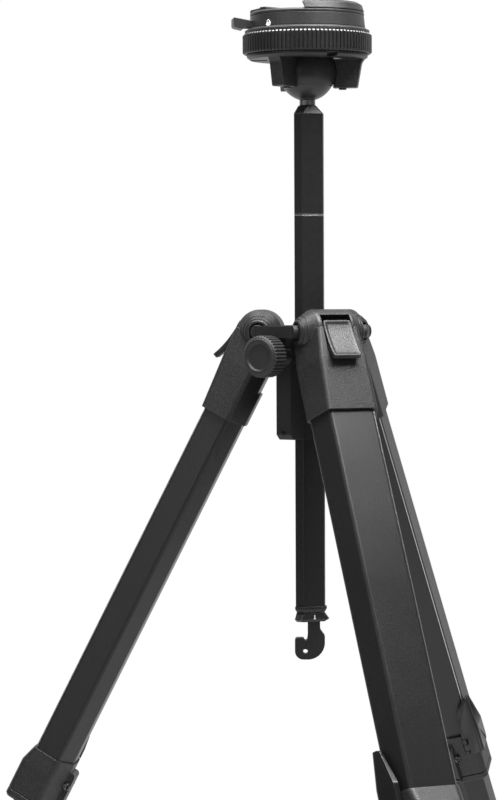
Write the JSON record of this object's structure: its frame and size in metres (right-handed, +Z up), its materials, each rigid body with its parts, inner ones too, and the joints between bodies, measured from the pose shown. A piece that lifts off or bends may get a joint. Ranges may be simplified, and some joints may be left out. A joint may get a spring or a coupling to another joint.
{
  "type": "tripod",
  "caption": "Folding camera tripod: three nested-section legs with cam clamps, sliding six-sided column with bag hook, ball head with round quick-release platform.",
  "frame": {"origin": "on the column axis at floor level", "axes": "+Z up along the column; the front leg points along -Y, the others at 30 and 150 degrees from +X"},
  "size_m": [0.9014, 0.7809, 1.1392],
  "materials": {
    "tube": "satin black anodised",
    "casting": "fine textured dark grey coating",
    "column": "satin black anodised",
    "ball": "hard anodised dark grey",
    "knurl": "satin black anodised, bright chamfer",
    "nylon": "moulded matt black",
    "rubber": "matt",
    "steel": "dark plated"
  },
  "bodies": {
    "hub": {"hub": "casting", "hinge_pins": "steel", "hub_screws": "steel"},
    "column": {"column_lower": "column", "column_upper": "column", "ball_stem": "ball", "hook_collar": "casting"},
    "lock_knob": {"lock_knob": "nylon", "lock_shaft": "steel"},
    "bag_hook": {"hook_base": "casting", "hook": "nylon"},
    "ball_liner": {"ball_cup": "nylon"},
    "ball_seat": {"seat_ring": "steel"},
    "head": {"head_base": "casting", "bezel_ring": "knurl", "platform": "casting", "plate_pad": "rubber"},
    "tension_ring": {"tension_ring": "knurl"},
    "lock_ring": {"lock_ring": "knurl"},
    "release_clasp": {"release_clasp": "casting"},
    "left_leg": {"left_hood": "casting", "left_tube_1": "tube", "left_clamp_1": "casting"},
    "left_angle_tab": {"left_angle_tab": "casting"},
    "left_section_2": {"left_tube_2": "tube", "left_clamp_2": "casting"},
    "left_section_3": {"left_tube_3": "tube", "left_clamp_3": "casting"},
    "left_section_4": {"left_tube_4": "tube", "left_foot": "rubber"},
    "left_lever_1": {"left_lever_1": "nylon"},
    "left_lever_2": {"left_lever_2": "nylon"},
    "left_lever_3": {"left_lever_3": "nylon"},
    "front_leg": {"front_hood": "casting", "front_tube_1": "tube", "front_clamp_1": "casting"},
    "front_angle_tab": {"front_angle_tab": "casting"},
    "front_section_2": {"front_tube_2": "tube", "front_clamp_2": "casting"},
    "front_section_3": {"front_tube_3": "tube", "front_clamp_3": "casting"},
    "front_section_4": {"front_tube_4": "tube", "front_foot": "rubber"},
    "front_lever_1": {"front_lever_1": "nylon"},
    "front_lever_2": {"front_lever_2": "nylon"},
    "front_lever_3": {"front_lever_3": "nylon"},
    "rear_leg": {"rear_hood": "casting", "rear_tube_1": "tube", "rear_clamp_1": "casting"},
    "rear_angle_tab": {"rear_angle_tab": "casting"},
    "rear_section_2": {"rear_tube_2": "tube", "rear_clamp_2": "casting"},
    "rear_section_3": {"rear_tube_3": "tube", "rear_clamp_3": "casting"},
    "rear_section_4": {"rear_tube_4": "tube", "rear_foot": "rubber"},
    "rear_lever_1": {"rear_lever_1": "nylon"},
    "rear_lever_2": {"rear_lever_2": "nylon"},
    "rear_lever_3": {"rear_lever_3": "nylon"}
  },
  "joints": [
    {"name": "column_slide", "type": "slide", "parent": "hub", "child": "column", "axis": [0, 0, 1], "range_m": [-0.1235, 0.086]},
    {"name": "lock_knob_turn", "type": "hinge", "parent": "hub", "child": "lock_knob", "pos_m": [0, 0, 0.95494], "axis": [-0.866, -0.5, 0], "range_deg": [0, 540]},
    {"name": "hook_twist", "type": "hinge", "parent": "column", "child": "bag_hook", "pos_m": [0, 0, 0.82294], "axis": [0, 0, 1], "range_deg": [0, 35]},
    {"name": "ball_swing", "type": "hinge", "parent": "column", "child": "ball_liner", "pos_m": [0, 0, 1.10304], "axis": [0, 0, 1], "range_deg": [-210, 150]},
    {"name": "ball_tilt", "type": "hinge", "parent": "ball_liner", "child": "ball_seat", "pos_m": [0, 0, 1.10304], "axis": [1, 0, 0], "range_deg": [0, 40]},
    {"name": "head_pan", "type": "hinge", "parent": "ball_seat", "child": "head", "pos_m": [0, 0, 1.10304], "axis": [0, 0, 1], "continuous": true},
    {"name": "tension_ring_turn", "type": "hinge", "parent": "head", "child": "tension_ring", "pos_m": [0, 0, 1.10304], "axis": [0, 0, 1], "range_deg": [0, 90]},
    {"name": "lock_ring_turn", "type": "hinge", "parent": "head", "child": "lock_ring", "pos_m": [0, 0, 1.10304], "axis": [0, 0, 1], "range_deg": [0, 45]},
    {"name": "clasp_slide", "type": "slide", "parent": "head", "child": "release_clasp", "axis": [-0.342, 0.9397, 0], "range_m": [0, 0.003], "stiffness_N_per_m": 800, "springref_m": -0.001},
    {"name": "left_leg_fold", "type": "hinge", "parent": "hub", "child": "left_leg", "pos_m": [-0.02139, 0.01235, 0.96754], "axis": [0.5, 0.866, 0], "range_deg": [-26.2, 53]},
    {"name": "left_angle_tab_pull", "type": "hinge", "parent": "left_leg", "child": "left_angle_tab", "pos_m": [-0.02905, 0.01677, 0.97045], "axis": [0.5, 0.866, 0], "range_deg": [0, 18], "stiffness_Nm_per_rad": 0.08, "springref_deg": -5.73},
    {"name": "left_section_2_slide", "type": "slide", "parent": "left_leg", "child": "left_section_2", "axis": [-0.3911, 0.2258, -0.8922], "range_m": [-0.22, 0]},
    {"name": "left_section_3_slide", "type": "slide", "parent": "left_section_2", "child": "left_section_3", "axis": [-0.3911, 0.2258, -0.8922], "range_m": [-0.245, 0]},
    {"name": "left_section_4_slide", "type": "slide", "parent": "left_section_3", "child": "left_section_4", "axis": [-0.3911, 0.2258, -0.8922], "range_m": [-0.268, 0]},
    {"name": "left_lever_1_flip", "type": "hinge", "parent": "left_leg", "child": "left_lever_1", "pos_m": [-0.10202, 0.0768, 0.73899], "axis": [-0.3911, 0.2258, -0.8922], "range_deg": [0, 75]},
    {"name": "left_lever_2_flip", "type": "hinge", "parent": "left_section_2", "child": "left_lever_2", "pos_m": [-0.19996, 0.13335, 0.51559], "axis": [-0.3911, 0.2258, -0.8922], "range_deg": [0, 75]},
    {"name": "left_lever_3_flip", "type": "hinge", "parent": "left_section_3", "child": "left_lever_3", "pos_m": [-0.30612, 0.19464, 0.27345], "axis": [-0.3911, 0.2258, -0.8922], "range_deg": [0, 75]},
    {"name": "front_leg_fold", "type": "hinge", "parent": "hub", "child": "front_leg", "pos_m": [0, -0.0247, 0.96754], "axis": [-1, 0, 0], "range_deg": [-26.2, 53]},
    {"name": "front_angle_tab_pull", "type": "hinge", "parent": "front_leg", "child": "front_angle_tab", "pos_m": [0, -0.03354, 0.97045], "axis": [-1, 0, 0], "range_deg": [0, 18], "stiffness_Nm_per_rad": 0.08, "springref_deg": -5.73},
    {"name": "front_section_2_slide", "type": "slide", "parent": "front_leg", "child": "front_section_2", "axis": [0, -0.4517, -0.8922], "range_m": [-0.22, 0]},
    {"name": "front_section_3_slide", "type": "slide", "parent": "front_section_2", "child": "front_section_3", "axis": [0, -0.4517, -0.8922], "range_m": [-0.245, 0]},
    {"name": "front_section_4_slide", "type": "slide", "parent": "front_section_3", "child": "front_section_4", "axis": [0, -0.4517, -0.8922], "range_m": [-0.268, 0]},
    {"name": "front_lever_1_flip", "type": "hinge", "parent": "front_leg", "child": "front_lever_1", "pos_m": [-0.0155, -0.12675, 0.73899], "axis": [0, -0.4517, -0.8922], "range_deg": [0, 75]},
    {"name": "front_lever_2_flip", "type": "hinge", "parent": "front_section_2", "child": "front_lever_2", "pos_m": [-0.0155, -0.23985, 0.51559], "axis": [0, -0.4517, -0.8922], "range_deg": [0, 75]},
    {"name": "front_lever_3_flip", "type": "hinge", "parent": "front_section_3", "child": "front_lever_3", "pos_m": [-0.0155, -0.36242, 0.27345], "axis": [0, -0.4517, -0.8922], "range_deg": [0, 75]},
    {"name": "rear_leg_fold", "type": "hinge", "parent": "hub", "child": "rear_leg", "pos_m": [0.02139, 0.01235, 0.96754], "axis": [0.5, -0.866, 0], "range_deg": [-26.2, 53]},
    {"name": "rear_angle_tab_pull", "type": "hinge", "parent": "rear_leg", "child": "rear_angle_tab", "pos_m": [0.02905, 0.01677, 0.97045], "axis": [0.5, -0.866, 0], "range_deg": [0, 18], "stiffness_Nm_per_rad": 0.08, "springref_deg": -5.73},
    {"name": "rear_section_2_slide", "type": "slide", "parent": "rear_leg", "child": "rear_section_2", "axis": [0.3911, 0.2258, -0.8922], "range_m": [-0.22, 0]},
    {"name": "rear_section_3_slide", "type": "slide", "parent": "rear_section_2", "child": "rear_section_3", "axis": [0.3911, 0.2258, -0.8922], "range_m": [-0.245, 0]},
    {"name": "rear_section_4_slide", "type": "slide", "parent": "rear_section_3", "child": "rear_section_4", "axis": [0.3911, 0.2258, -0.8922], "range_m": [-0.268, 0]},
    {"name": "rear_lever_1_flip", "type": "hinge", "parent": "rear_leg", "child": "rear_lever_1", "pos_m": [0.11752, 0.04995, 0.73899], "axis": [0.3911, 0.2258, -0.8922], "range_deg": [0, 75]},
    {"name": "rear_lever_2_flip", "type": "hinge", "parent": "rear_section_2", "child": "rear_lever_2", "pos_m": [0.21546, 0.1065, 0.51559], "axis": [0.3911, 0.2258, -0.8922], "range_deg": [0, 75]},
    {"name": "rear_lever_3_flip", "type": "hinge", "parent": "rear_section_3", "child": "rear_lever_3", "pos_m": [0.32162, 0.16779, 0.27345], "axis": [0.3911, 0.2258, -0.8922], "range_deg": [0, 75]}
  ]
}
